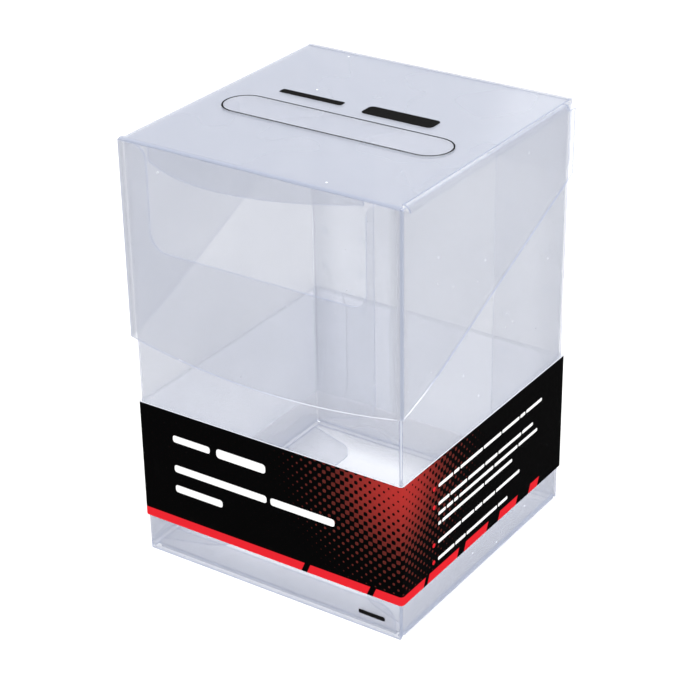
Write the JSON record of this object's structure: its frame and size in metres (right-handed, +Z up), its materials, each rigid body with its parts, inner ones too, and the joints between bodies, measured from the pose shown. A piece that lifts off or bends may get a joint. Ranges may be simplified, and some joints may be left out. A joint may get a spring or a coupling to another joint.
{
  "type": "graded card box",
  "caption": "Clear folding plastic box with a hinged flap lid, notched front, tucked floor and a wrap-around printed card band, for storing graded card cases upright.",
  "frame": {"origin": "on the standing surface, under the middle of the box's outer size", "axes": "+Z up, -Y towards the front wall with the finger notch, +X to the right of someone facing the front"},
  "size_m": [0.0988, 0.0988, 0.1424],
  "materials": {
    "clear_sheet": "clear gloss sheet with a faint blue-violet tint, creased at the folds",
    "write_on_film": "lightly frosted film with a thin black outline",
    "band_print": "coated card printed black with a red dot fade, red slanted dashes and plain white bars, white on the inside",
    "band_card": "unprinted white card"
  },
  "bodies": {
    "box_body": {"front_wall": "clear_sheet", "left_wall": "clear_sheet", "right_wall": "clear_sheet", "back_wall": "clear_sheet", "back_left_weld_flap": "clear_sheet", "back_right_weld_flap": "clear_sheet", "lid_rear_strip": "clear_sheet"},
    "lid": {"lid_top_panel": "clear_sheet", "lid_front_flap": "clear_sheet", "lid_left_flap": "clear_sheet", "lid_right_flap": "clear_sheet", "lid_left_weld_tab": "clear_sheet", "lid_right_weld_tab": "clear_sheet", "lid_lock_tongue": "clear_sheet", "write_on_strip": "write_on_film"},
    "floor_panel": {"bottom_panel": "clear_sheet"},
    "tuck": {"bottom_tuck_flap": "clear_sheet"},
    "left_dust_flap": {"bottom_left_dust_flap": "clear_sheet"},
    "right_dust_flap": {"bottom_right_dust_flap": "clear_sheet"},
    "band": {"band_front_panel": "band_print", "band_right_panel": "band_print", "band_back_panel": "band_print", "band_left_panel": "band_print", "band_glue_tab": "band_card"}
  },
  "joints": [
    {"name": "lid_crease", "type": "hinge", "parent": "box_body", "child": "lid", "pos_m": [0, 0.0488, 0.142], "axis": [-1, 0, 0], "range_deg": [0, 250]},
    {"name": "floor_crease", "type": "hinge", "parent": "box_body", "child": "floor_panel", "pos_m": [0, 0.0472, 0], "axis": [1, 0, 0], "range_deg": [0, 100]},
    {"name": "tuck_crease", "type": "hinge", "parent": "floor_panel", "child": "tuck", "pos_m": [0, -0.04635, 0.0008], "axis": [-1, 0, 0], "range_deg": [0, 60]},
    {"name": "left_dust_crease", "type": "hinge", "parent": "box_body", "child": "left_dust_flap", "pos_m": [-0.0472, 0, 0.00105], "axis": [0, -1, 0], "range_deg": [0, 85]},
    {"name": "right_dust_crease", "type": "hinge", "parent": "box_body", "child": "right_dust_flap", "pos_m": [0.0472, 0, 0.00105], "axis": [0, 1, 0], "range_deg": [0, 85]},
    {"name": "band_slide", "type": "slide", "parent": "box_body", "child": "band", "axis": [0, 0, 1], "range_m": [-0.0125, 0.016]}
  ]
}
